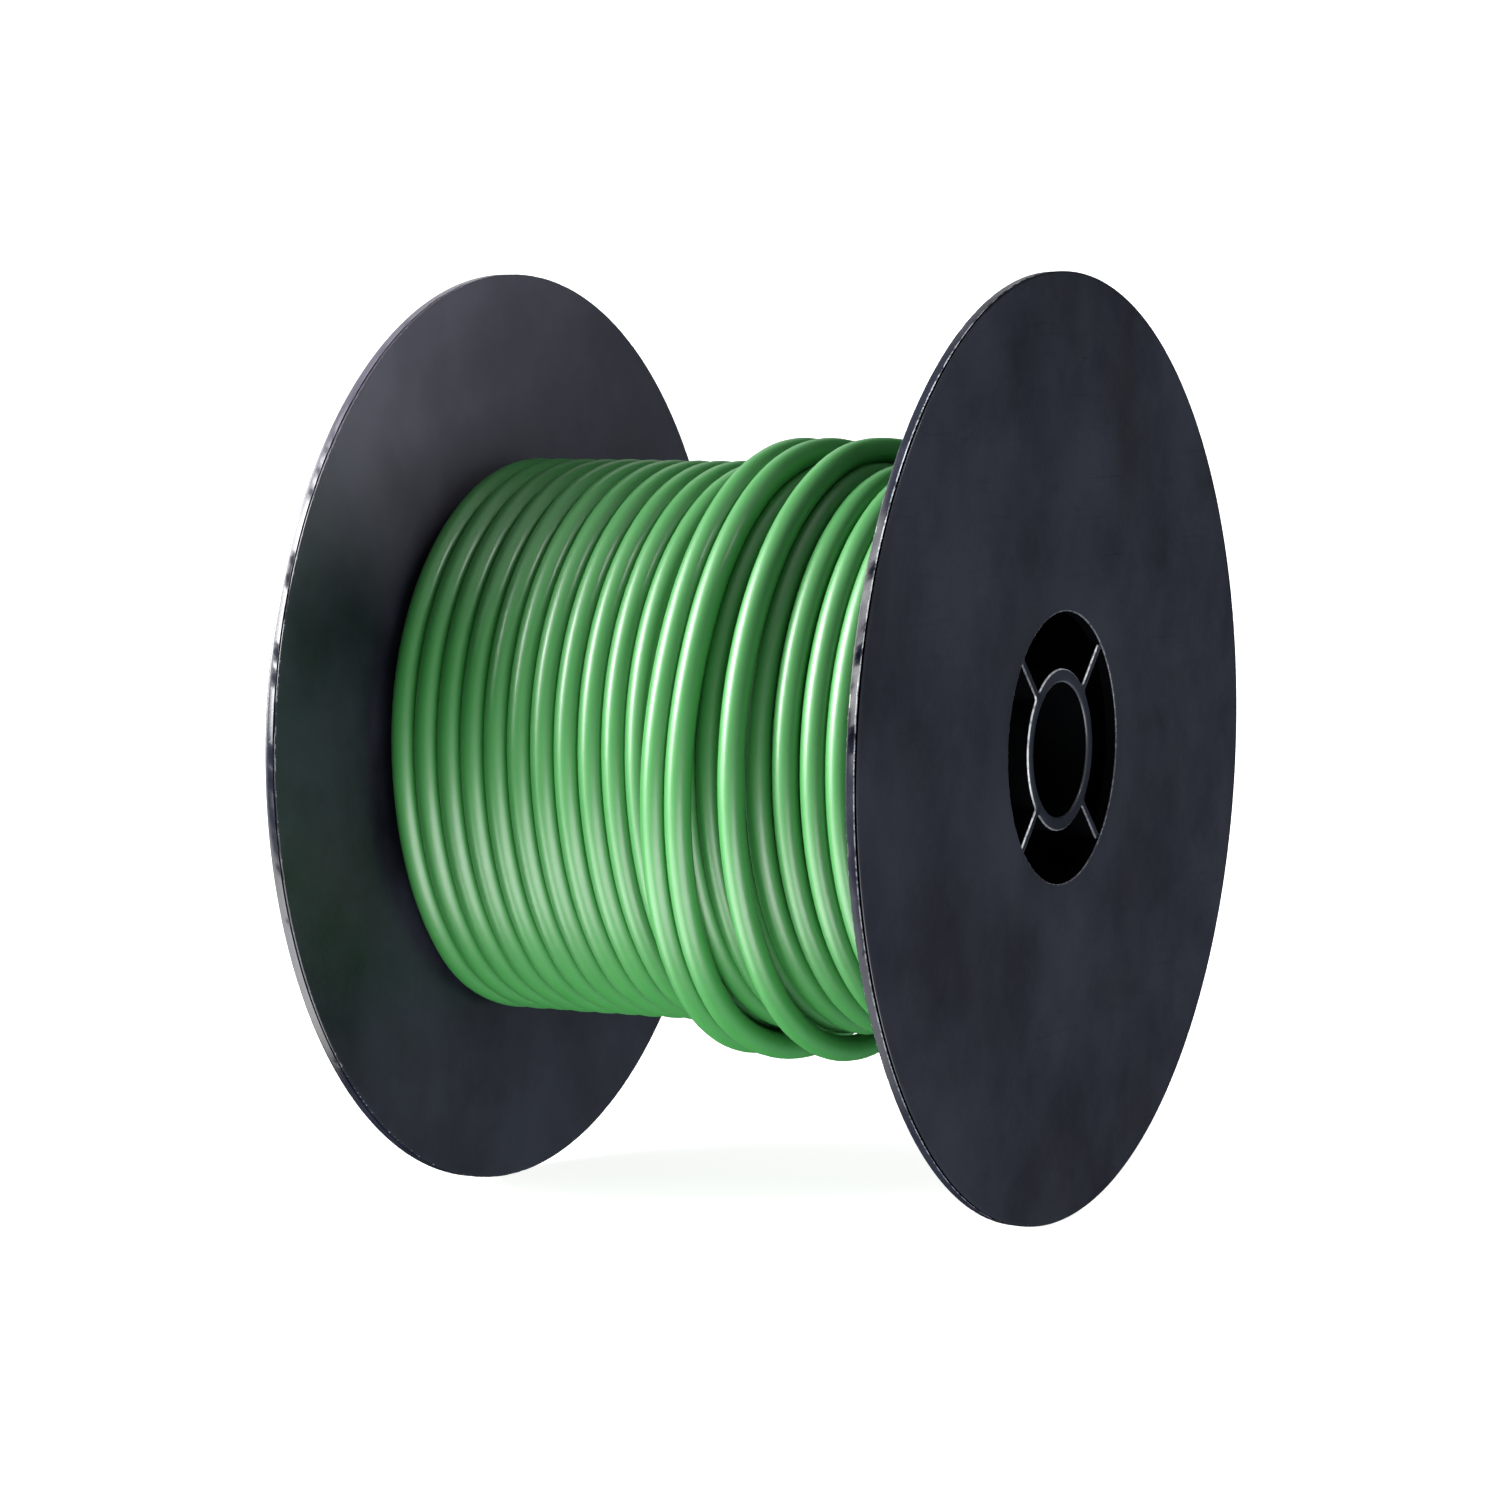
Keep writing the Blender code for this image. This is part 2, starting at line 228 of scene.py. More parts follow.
def wire_mesh():
    e, s = outward[:, None, :], side[:, None, :]
    c, d = np.cos(phi)[None, :, None], np.sin(phi)[None, :, None]
    body = centre[:, None, :] + WIRE_R * (c * e + d * s)
    rings = [body.reshape(-1, 3)]
    us = [np.repeat(along, SIDES)]
    tip, t = centre[-1], tangent[-1]
    end = [(0.05, WIRE_R - 0.02), (0.08, WIRE_R - 0.07), (0.08, CORE_BORE_R + 0.05),
           (0.03, CORE_BORE_R), (-3.3, CORE_BORE_R)]
    for dist, radius in end:
        rings.append(ring(tip + t * dist, outward[-1], side[-1], radius))
        us.append(np.full(SIDES, along[-1] + dist))
    verts = np.concatenate(rings) * MM
    n = len(verts) // SIDES
    faces = []
    for i in range(n - 1):
        for k in range(SIDES):
            k1 = (k + 1) % SIDES
            faces.append((i * SIDES + k, i * SIDES + k1,
                          (i + 1) * SIDES + k1, (i + 1) * SIDES + k))
    faces.append(tuple(reversed(range(SIDES))))
    faces.append(tuple((n - 1) * SIDES + k for k in range(SIDES)))
    mesh = mesh_from("green_wire", verts, faces)
    # UV: distance along the wire in metres, and once round it
    us = np.concatenate(us) * MM
    uv = mesh.uv_layers.new(name="along_wire")
    idx = np.empty(len(mesh.loops), np.int32)
    mesh.loops.foreach_get("vertex_index", idx)
    vv = (idx % SIDES) / SIDES
    # the last column of each ring closes at 1, not at 0
    start = np.empty(len(mesh.polygons), np.int32)
    mesh.polygons.foreach_get("loop_start", start)
    quads = (n - 1) * SIDES
    col = np.arange(quads) % SIDES
    first = start[:quads][col == SIDES - 1]
    for off in (1, 2):
        vv[first + off] = 1.0
    data = np.empty((len(idx), 2), np.float32)
    data[:, 0] = us[idx]
    data[:, 1] = vv
    uv.data.foreach_set("uv", data.ravel())
    bm = bmesh.new()
    bm.from_mesh(mesh)
    bmesh.ops.recalc_face_normals(bm, faces=bm.faces)
    bm.to_mesh(mesh)
    bm.free()
    mesh.shade_smooth()
    mesh.set_sharp_from_angle(angle=math.radians(50))
    return mesh


# ---------------------------------------------------------------- materials
class Nodes:
    """Short calls for a material's or a world's node tree."""

    def __init__(self, tree):
        self.tree = tree

    def add(self, kind, inputs=None, **props):
        node = self.tree.nodes.new(kind)
        for key, value in props.items():
            setattr(node, key, value)
        for key, value in (inputs or {}).items():
            self.put(node, key, value)
        return node

    def put(self, node, key, value):
        socket = node.inputs[key]
        if isinstance(value, bpy.types.NodeSocket):
            self.tree.links.new(value, socket)
        else:
            socket.default_value = value

    def math(self, op, x, y=None, z=None, clamp=False):
        node = self.add("ShaderNodeMath", operation=op, use_clamp=clamp)
        for k, value in enumerate((x, y, z)):
            if value is not None:
                self.put(node, k, value)
        return node.outputs[0]

    def ramp(self, value, lo, hi, to_lo=0.0, to_hi=1.0, kind="SMOOTHSTEP"):
        node = self.add("ShaderNodeMapRange", interpolation_type=kind)
        for key, v in (("Value", value), ("From Min", lo), ("From Max", hi),
                       ("To Min", to_lo), ("To Max", to_hi)):
            self.put(node, key, v)
        return node.outputs["Result"]

    def band(self, value, lo, hi, soft):
        """1 between lo and hi, with soft edges."""
        return self.math("MULTIPLY", self.ramp(value, lo - soft, lo + soft),
                         self.ramp(value, hi - soft, hi + soft, 1.0, 0.0))

    def noise(self, vector, scale, detail=3.0, rough=0.5, distort=0.0):
        node = self.add("ShaderNodeTexNoise", {
            "Vector": vector, "Scale": scale, "Detail": detail,
            "Roughness": rough, "Distortion": distort})
        return node.outputs["Fac"]

    def mix(self, fac, x, y):
        node = self.add("ShaderNodeMix", data_type="RGBA")
        self.put(node, 0, fac)
        self.put(node, 6, x)
        self.put(node, 7, y)
        return node.outputs[2]


def new_material(name):
    mat = bpy.data.materials.new(name)
    mat.use_nodes = True
    n = Nodes(mat.node_tree)
    return mat, n, mat.node_tree.nodes["Principled BSDF"]


def mm_coords(n, scale=(1000.0, 1000.0, 1000.0), turn=(0.0, 0.0, 0.0)):
    tex = n.add("ShaderNodeTexCoord")
    mapping = n.add("ShaderNodeMapping", {
        "Vector": tex.outputs["Object"], "Scale": scale, "Rotation": turn})
    return mapping.outputs["Vector"]


def black_plastic(name, near, gloss=0.5):
    mat, n, bsdf = new_material(name)
    pos = mm_coords(n)
    cloud = n.noise(pos, 0.045, 5.0, 0.60)
    grain = n.noise(pos, 1.1, 4.0, 0.6)
    level = n.math("ADD", n.ramp(cloud, 0.36, 0.64, 0.0, 0.80, "LINEAR"),
                   n.ramp(grain, 0.3, 0.7, 0.0, 0.20, "LINEAR"))
    colour = n.mix(level, (0.0012, 0.0016, 0.0040, 1.0), (0.0125, 0.0145, 0.0230, 1.0))
    # paler ring where the barrel meets the flange, round the opening
    xyz = n.add("ShaderNodeSeparateXYZ", {"Vector": pos})
    r2 = n.math("ADD", n.math("MULTIPLY", xyz.outputs["X"], xyz.outputs["X"]),
                n.math("MULTIPLY", xyz.outputs["Z"], xyz.outputs["Z"]))
    radius = n.math("SQRT", r2)
    halo = n.ramp(radius, 19.0, 25.0, 0.30, 0.0)
    colour = n.mix(halo, colour, (0.016, 0.019, 0.027, 1.0))
    if not near:
        # painted reflection: the upper part of the far flange is made paler, where it would reflect
        # the light from above
        painted_upper_sheen = n.math("MULTIPLY", n.ramp(xyz.outputs["Z"], 14.0, 44.0, 0.0, 0.9),
                      n.ramp(cloud, 0.35, 0.60, 0.7, 1.0))
        colour = n.mix(painted_upper_sheen, colour, (0.082, 0.076, 0.100, 1.0))
    # worn edges: the ridge on the rim, the rim's inner corner, the opening
    depth = n.math("ABSOLUTE", xyz.outputs["Y"])
    speck = n.noise(pos, 1.5, 3.0, 0.6)
    outer = n.ramp(radius, FLANGE_R - 0.20, FLANGE_R - 0.12)
    if near:
        ridge = n.math("MULTIPLY", n.band(depth, HALF - 0.54, HALF - 0.38, 0.03), outer)
        # paler towards the upper front
        where = n.math("ADD", n.math("MULTIPLY", xyz.outputs["X"], -0.731),
                       n.math("MULTIPLY", xyz.outputs["Z"], 0.682))
        upper_front_fade = n.ramp(where, 53.0, 56.5, 0.35, 1.0)
        ridge = n.math("MULTIPLY", ridge, n.ramp(speck, 0.38, 0.56, 0.08, 1.0))
        colour = n.mix(n.math("MULTIPLY", ridge, upper_front_fade), colour, (0.27, 0.28, 0.31, 1.0))
    corner = n.math("MULTIPLY", n.band(depth, INNER - 0.02, INNER + 0.07, 0.03), outer)
    corner = n.math("MULTIPLY", corner, n.ramp(speck, 0.56, 0.62))
    colour = n.mix(n.math("MULTIPLY", corner, 0.6), colour, (0.22, 0.23, 0.26, 1.0))
    up = n.math("SUBTRACT", xyz.outputs["Z"], OPENING_UP)
    hole = n.math("SQRT", n.math("ADD", n.math("MULTIPLY", xyz.outputs["X"], xyz.outputs["X"]),
                                 n.math("MULTIPLY", up, up)))
    mouth = n.math("MULTIPLY", n.band(hole, OPENING_R + 0.02, OPENING_R + 0.14, 0.03),
                   n.ramp(depth, HALF - 0.16, HALF - 0.10))
    mouth = n.math("MULTIPLY", mouth, n.ramp(speck, 0.40, 0.60, 0.15, 1.0))
    colour = n.mix(n.math("MULTIPLY", mouth, 0.6), colour, (0.20, 0.21, 0.24, 1.0))
    # rounded ends of the ribs and of the arbor ring, partly worn pale and partly a painted highlight
    ends = n.math("MULTIPLY", n.band(depth, HALF - HUB_RECESS - 0.19, HALF - HUB_RECESS - 0.03, 0.03),
                  n.ramp(radius, 16.2, 16.5, 1.0, 0.0))
    ends = n.math("MULTIPLY", ends, n.ramp(speck, 0.30, 0.55, 0.35, 1.0))
    ends = n.math("MULTIPLY", ends, n.ramp(radius, BORE_R + 0.30, BORE_R + 0.50, 0.12, 1.0))
    # painted highlight: two opposite ribs and one side of the ring are made much paler, where a lamp
    # would catch their rounded edges
    on_rib = n.ramp(radius, ARBOR_R + 0.2, ARBOR_R + 0.7)
    rib_painted_highlight = n.ramp(n.math("MULTIPLY", xyz.outputs["X"], xyz.outputs["Z"]), -5.0, 5.0, 0.12, 1.0)
    ring_painted_highlight = n.ramp(n.math("SUBTRACT", xyz.outputs["Z"], xyz.outputs["X"]), 0.0, 9.0, 0.15, 0.8)
    wear_and_highlight = n.math("ADD", n.math("MULTIPLY", on_rib, rib_painted_highlight),
                  n.math("MULTIPLY", n.math("SUBTRACT", 1.0, on_rib), ring_painted_highlight))
    colour = n.mix(n.math("MULTIPLY", ends, wear_and_highlight), colour, (0.80, 0.82, 0.86, 1.0))
    n.put(bsdf, "Base Color", colour)
    # hairline scratches in two directions
    hair = []
    for k, (turn, stretch) in enumerate(((0.5, 1.0), (-0.95, 0.8))):
        v = mm_coords(n, (60.0 * stretch, 1000.0, 2600.0), (0.0, turn, 0.0))
        h = n.noise(v, 1.0, 2.0, 0.5)
        mask = n.ramp(n.noise(pos, 0.035 + 0.01 * k, 2.0, 0.5), 0.50, 0.62)
        hair.append(n.math("MULTIPLY", n.ramp(h, 0.665, 0.70), mask))
    scratch = n.math("MAXIMUM", hair[0], hair[1])
    rough = n.ramp(n.noise(pos, 0.06, 4.0, 0.6), 0.36, 0.64, 0.36, 0.48, "LINEAR")
    rough = n.math("SUBTRACT", rough, n.math("MULTIPLY", outer, 0.20))
    # the ends of the ribs and of the arbor ring are smoother than the faces
    rough = n.math("SUBTRACT", rough, n.ramp(radius, 15.4, 16.0, 0.10, 0.0))
    n.put(bsdf, "Roughness", n.math("SUBTRACT", rough, n.math("MULTIPLY", scratch, 0.07)))
    bsdf.inputs["IOR"].default_value = 1.50
    bsdf.inputs["Specular IOR Level"].default_value = gloss
    micro = n.noise(pos, 3.2, 3.0, 0.55)
    wave = n.noise(pos, 0.09, 2.0, 0.5)
    height = n.math("ADD", n.math("MULTIPLY", micro, 0.010),
                    n.math("MULTIPLY", wave, 0.05))
    height = n.math("SUBTRACT", height, n.math("MULTIPLY", scratch, 0.006))
    bump = n.add("ShaderNodeBump", {"Height": height, "Strength": 0.6,
                                    "Distance": 0.001})
    n.put(bsdf, "Normal", bump.outputs["Normal"])
    return mat


def green_pvc(name):
    mat, n, bsdf = new_material(name)
    uv = n.add("ShaderNodeUVMap", uv_map="along_wire")
    run = n.add("ShaderNodeMapping", {"Vector": uv.outputs["UV"],
                                      "Scale": (60.0, 3.0, 1.0)}).outputs["Vector"]
    pos = mm_coords(n)
    tone = n.noise(run, 1.0, 3.0, 0.5)
    colour = n.mix(n.ramp(tone, 0.3, 0.7, 0.0, 1.0, "LINEAR"),
                   (0.017, 0.150, 0.024, 1.0), (0.022, 0.170, 0.029, 1.0))
    scuff_v = n.add("ShaderNodeMapping", {"Vector": uv.outputs["UV"],
                                          "Scale": (260.0, 9.0, 1.0)}).outputs["Vector"]
    scuff = n.ramp(n.noise(scuff_v, 1.0, 3.0, 0.6), 0.70, 0.78)
    colour = n.mix(n.math("MULTIPLY", scuff, 0.30), colour, (0.16, 0.34, 0.16, 1.0))
    n.put(bsdf, "Base Color", colour)
    rough = n.ramp(n.noise(pos, 0.25, 4.0, 0.6), 0.3, 0.7, 0.46, 0.52, "LINEAR")
    n.put(bsdf, "Roughness", n.math("ADD", rough, n.math("MULTIPLY", scuff, 0.15)))
    bsdf.inputs["IOR"].default_value = 1.50
    bsdf.inputs["Specular IOR Level"].default_value = 0.80
    bsdf.inputs["Coat Weight"].default_value = 0.28
    bsdf.inputs["Coat Roughness"].default_value = 0.18
    fine = n.noise(pos, 2.0, 3.0, 0.55)
    bump = n.add("ShaderNodeBump", {"Height": fine, "Strength": 0.05,
                                    "Distance": 0.0005})
    n.put(bsdf, "Normal", bump.outputs["Normal"])
    return mat


def copper(name):
    mat, n, bsdf = new_material(name)
    pos = mm_coords(n)
    tone = n.noise(pos, 1.6, 3.0, 0.6)
    n.put(bsdf, "Base Color", n.mix(tone, (0.80, 0.36, 0.20, 1.0), (0.95, 0.54, 0.36, 1.0)))
    bsdf.inputs["Metallic"].default_value = 1.0
    n.put(bsdf, "Roughness", n.ramp(n.noise(pos, 4.0, 3.0, 0.6), 0.3, 0.7, 0.18, 0.34, "LINEAR"))
    return mat


def painted_shade_material(name):
    """Painted shade: a near-black, glossless finish for the walls inside the hub and the barrel and
    for the rim's groove, where shade falls.
    """
    mat, n, bsdf = new_material(name)
    pos = mm_coords(n)
    n.put(bsdf, "Base Color", n.mix(n.noise(pos, 0.4, 3.0, 0.6),
                                    (0.0008, 0.0009, 0.0011, 1.0), (0.0016, 0.0018, 0.0022, 1.0)))
    bsdf.inputs["Roughness"].default_value = 0.75
    bsdf.inputs["Specular IOR Level"].default_value = 0.0
    return mat


# painted shade: near-black material for the hollows of the spool
SHADE_PAINT = painted_shade_material("black_plastic_painted_shade")
PLASTIC_NEAR = black_plastic("black_plastic_near", True)
PLASTIC_RIM = black_plastic("black_plastic_near_rim", True, 0.13)
PLASTIC_FAR = black_plastic("black_plastic_far", False)
PLASTIC_OUTER = black_plastic("black_plastic_far_outer", True, 0.16)
PVC = green_pvc("green_pvc")
COPPER = copper("bare_copper")

# --------------------------------------------------------------------- wire
wire = link(bpy.data.objects.new("green_wire", wire_mesh()))
wire.data.materials.append(PVC)
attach(wire, "root")
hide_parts("wire_inner_layers", "wire_outer_layer", "loose_turn_1",
            "loose_turn_2", "loose_turn_3", "wire_free_end")


def strand(k):
    """One twisted copper strand, its tip cut square and a little splayed."""
    tip, t = centre[-1], tangent[-1]
    e, s = outward[-1], side[-1]
    off = 0.0 if k == 6 else STRAND_PITCH_R
    length = STRIP_LENGTH + 0.22 * math.sin(2.1 * k + 0.4)
    steps, around = 26, 14
    pts = []
    for i in range(steps + 1):
        d = -STRAND_BURIED + (length + STRAND_BURIED) * i / steps
        turn = math.radians(60 * k) + math.radians(13.0) * d
        splay = 1.0 + 0.30 * max(0.0, d / STRIP_LENGTH) ** 2 * (0.7 + 0.3 * math.sin(3.7 * k))
        pts.append(tip + t * d + off * splay * (math.cos(turn) * e + math.sin(turn) * s))
    pts = np.array(pts)
    tan = np.gradient(pts, axis=0)
    tan /= np.linalg.norm(tan, axis=1)[:, None]
    verts = []
    th = np.linspace(0, 2 * math.pi, around, endpoint=False)

    def circle(p, d, radius):
        x = np.cross(d, s)
        x /= np.linalg.norm(x)
        y = np.cross(d, x)
        verts.extend(p + radius * (math.cos(q) * x + math.sin(q) * y) for q in th)

    circle(pts[0], tan[0], STRAND_R * 0.8)
    for p, d in zip(pts, tan):
        circle(p, d, STRAND_R)
    circle(pts[-1] + tan[-1] * 0.05, tan[-1], STRAND_R * 0.97)
    circle(pts[-1] + tan[-1] * 0.08, tan[-1], STRAND_R * 0.84)
    rows = len(verts) // around
    faces = [(i * around + q, i * around + (q + 1) % around,
              (i + 1) * around + (q + 1) % around, (i + 1) * around + q)
             for i in range(rows - 1) for q in range(around)]
    faces.append(tuple(reversed(range(around))))
    faces.append(tuple((rows - 1) * around + q for q in range(around)))
    mesh = mesh_from("strand_%d" % (k + 1), np.array(verts) * MM, faces)
    bm = bmesh.new()
    bm.from_mesh(mesh)
    bmesh.ops.recalc_face_normals(bm, faces=bm.faces)
    bm.to_mesh(mesh)
    bm.free()
    mesh.shade_smooth()
    mesh.set_sharp_from_angle(angle=math.radians(40))
    obj = link(bpy.data.objects.new("strand_%d" % (k + 1), mesh))
    mesh.materials.append(COPPER)
    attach(obj, "root")
    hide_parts("copper_strand_%d" % (k + 1))
    return obj


strands = [strand(k) for k in range(7)]


# -------------------------------------------------------------------- spool
SEGMENTS = 480


def edge_arc(cx, cy, radius, a0, a1, steps=4):
    """Points of an arc in the (r, y) plane, angles in degrees."""
    return [(cx + radius * math.cos(math.radians(a0 + (a1 - a0) * k / steps)),
             cy + radius * math.sin(math.radians(a0 + (a1 - a0) * k / steps)))
            for k in range(steps + 1)]


def half_profile(near):
    """Closed outline (r, y), outer face at y = HALF, with the tags of the
    points that carry the nicked moulding line."""
    r, tags = [], {}
    rim = FLANGE_R
    # outer face, from the opening to the rim
    r += edge_arc(OPENING_R + 0.14, HALF - 0.14, 0.14, 180, 90)
    r += [(OPENING_R + 0.5, HALF)]
    tags["opening"] = list(range(len(r)))
    r += [(24.0, HALF), (40.0, HALF), (rim - 0.7, HALF)]
    if near:
        # lip, groove, worn ridge and plain band
        r += edge_arc(rim - 0.03 - 0.10, HALF - 0.10, 0.10, 90, 0)
        r += [(rim - 0.05, HALF - 0.13), (rim - 0.42, HALF - 0.15),
              (rim - 0.42, HALF - 0.36), (rim - 0.03, HALF - 0.38)]
        tags["line"] = [len(r), len(r) + 1]
        r += [(rim, HALF - 0.41), (rim, HALF - 0.52)]
        r += [(rim - 0.05, HALF - 0.57), (rim - 0.07, INNER + 0.20)]
        tags["edge"] = list(range(len(r), len(r) + 5))
        r += edge_arc(rim - 0.08 - 0.10, INNER + 0.10, 0.10, 0, -90)
    else:
        r += edge_arc(rim - 0.05 - 0.20, HALF - 0.20, 0.20, 90, 0)
        r += [(rim - 0.05, HALF - 0.40), (rim - 0.06, INNER + 0.52)]
        tags["line"] = [len(r), len(r) + 1]
        r += [(rim, INNER + 0.46), (rim, INNER + 0.41)]
        r += [(rim - 0.38, INNER + 0.36), (rim - 0.38, INNER + 0.20),
              (rim - 0.05, INNER + 0.17)]
        tags["edge"] = list(range(len(r), len(r) + 5))
        r += edge_arc(rim - 0.04 - 0.10, INNER + 0.10, 0.10, 0, -90)
    r += [(FLANGE_R - 0.7, INNER), (45.0, INNER), (33.0, INNER), (BARREL_R + 1.2, INNER)]
    r += edge_arc(BARREL_R + 0.6, INNER - 0.6, 0.6, 90, 180)
    r += [(BARREL_R, INNER - 1.2), (BARREL_R, JOINT_GAP)]
    if near:
        r += [(SPIGOT_OUT, JOINT_GAP), (SPIGOT_OUT, -SPIGOT_L + 0.3),
              (SPIGOT_OUT - 0.3, -SPIGOT_L), (SPIGOT_IN, -SPIGOT_L),
              (SPIGOT_IN, 6.0), (BARREL_IN, 6.0 + BARREL_IN - SPIGOT_IN)]
    else:
        r += [(BARREL_IN, JOINT_GAP)]
    r += [(BARREL_IN, INNER - 0.8)]
    r += edge_arc(BARREL_IN - 0.4, INNER - 0.4, 0.4, 0, 90, 3)
    tags["opening"] += [len(r), len(r) + 1]
    r += [(OPENING_R + 0.4, INNER), (OPENING_R, INNER + 0.1)]
    return r, tags


def turned(name, profile, segments, wobble=None):
    pts = np.array(profile, float)
    m = len(pts)
    th = np.linspace(0, 2 * math.pi, segments, endpoint=False)
    rr = np.repeat(pts[None, :, 0], segments, 0)
    yy = np.repeat(pts[None, :, 1], segments, 0)
    if wobble is not None:
        rr, yy = wobble(rr, yy, th)
    verts = np.stack([rr * np.cos(th)[:, None], yy, rr * np.sin(th)[:, None]], -1)
    faces = []
    for i in range(segments):
        i1 = (i + 1) % segments
        for k in range(m):
            k1 = (k + 1) % m
            faces.append((i * m + k, i * m + k1, i1 * m + k1, i1 * m + k))
    mesh = mesh_from(name, verts.reshape(-1, 3) * MM, faces)
    tidy(mesh)
    return mesh


def tidy(mesh):
    bm = bmesh.new()
    bm.from_mesh(mesh)
    bmesh.ops.remove_doubles(bm, verts=bm.verts, dist=1e-7)
    bmesh.ops.recalc_face_normals(bm, faces=bm.faces)
    bm.to_mesh(mesh)
    bm.free()


def nicks(seed, tags, sign):
    """The ridge on the rim is worn unevenly, with small nicks."""
    rng = np.random.default_rng(seed)

    def wobble(rr, yy, th):
        count = len(th)
        rough = rng.random(count)
        wide = np.interp(np.arange(count), np.arange(0, count + 12, 12),
                         rng.random(count // 12 + 1))
        depth = 0.02 + 0.05 * wide + 0.09 * np.where(rough > 0.86, rough, 0.0)
        for k in tags["line"]:
            rr[:, k] -= depth
        chip = 0.05 * np.where(rng.random(count) > 0.80, rng.random(count), 0.0)
        for k in tags["edge"]:
            rr[:, k] -= chip
        for k in tags["opening"]:
            rr[:, k] += OPENING_UP * np.sin(th)
        return rr, yy

    return wobble


def hub_outline(count_arc=40, fillet=0.55):
    """Outline of arbor ring and four ribs in the XZ plane, star-shaped."""
    half = RIB_T / 2
    pts = []
    # the fillet touches the ring and the rib's side
    fc_off = half + fillet
    fc_along = math.sqrt((ARBOR_R + fillet) ** 2 - fc_off ** 2)
    a_touch = math.degrees(math.atan2(fc_off, fc_along))
    for q in range(4):
        axis = 45.0 + 90.0 * q
        ca, sa = math.cos(math.radians(axis)), math.sin(math.radians(axis))

        def put(x, y):
            pts.append((x * ca - y * sa, x * sa + y * ca))

        # before the rib: fillet, side out, end, side in, fillet
        a0 = math.degrees(math.atan2(-(0 - fc_off), -fc_along))
        for k in range(5):
            ang = math.radians(180 - a_touch + (a_touch - 90) * k / 4)
            put(fc_along + fillet * math.cos(ang), -fc_off + fillet * math.sin(ang))
        for x in (12.5, 15.0, 18.0, 21.4):
            put(x, -half)
        for x in (21.4, 18.0, 15.0, 12.5):
            put(x, half)
        for k in range(5):
            ang = math.radians(270 + (a_touch - 90 + 0.0) * 0 - (90 - a_touch) * k / 4)
            put(fc_along + fillet * math.cos(ang), fc_off + fillet * math.sin(ang))
        for k in range(1, count_arc):
            ang = math.radians(a_touch + (90 - 2 * a_touch) * k / count_arc)
            put(ARBOR_R * math.cos(ang), ARBOR_R * math.sin(ang))
    return np.array(pts)


def offset_in(pts, d):
    """The closed outline moved inwards by d."""
    nxt, prv = np.roll(pts, -1, 0), np.roll(pts, 1, 0)
    t0, t1 = pts - prv, nxt - pts
    t0 /= np.linalg.norm(t0, axis=1)[:, None]
    t1 /= np.linalg.norm(t1, axis=1)[:, None]
    n0 = np.stack([-t0[:, 1], t0[:, 0]], -1)
    n1 = np.stack([-t1[:, 1], t1[:, 0]], -1)
    n = n0 + n1
    n /= np.maximum(np.linalg.norm(n, axis=1), 1e-9)[:, None]
    cosine = np.clip((n * n0).sum(1), 0.5, 1.0)
    return pts + n * (d / cosine)[:, None]


def hub_insert(name, side_sign, y_start):
    """Arbor ring with ribs, one closed body, its outer end edges rounded."""
    outline = hub_outline()
    ang = np.arctan2(outline[:, 1], outline[:, 0])
    hole = np.stack([np.cos(ang), np.sin(ang)], -1)
    end = HALF - HUB_RECESS
    rd = 0.24
    rings = []           # (xz points, y)
    rings.append((hole * BORE_R, y_start))
    rings.append((hole * BORE_R, end - rd))
    for k in range(1, 5):
        b = math.radians(90 * k / 4)
        rings.append((hole * (BORE_R + rd * (1 - math.cos(b))), end - rd + rd * math.sin(b)))
    rings.append((hole * (BORE_R + rd + 0.12), end))
    rings.append((offset_in(outline, rd), end))
    for k in range(3, -1, -1):
        b = math.radians(90 * k / 4)
        rings.append((offset_in(outline, rd * (1 - math.cos(b))), end - rd + rd * math.sin(b)))
    rings.append((outline, y_start))
    m = len(outline)
    verts = []
    for xz, y in rings:
        for x, z in xz:
            verts.append((x * MM, side_sign * y * MM, z * MM))
    n = len(rings)
    faces = []
    for i in range(n):
        i1 = (i + 1) % n
        for k in range(m):
            k1 = (k + 1) % m
            faces.append((i * m + k, i * m + k1, i1 * m + k1, i1 * m + k))
    mesh = mesh_from(name, verts, faces)
    tidy(mesh)
    return mesh


def plain_tube(name, r_in, r_out, y0, y1, segments=96):
    return turned(name, [(r_in, y0), (r_out, y0), (r_out, y1), (r_in, y1)], segments)


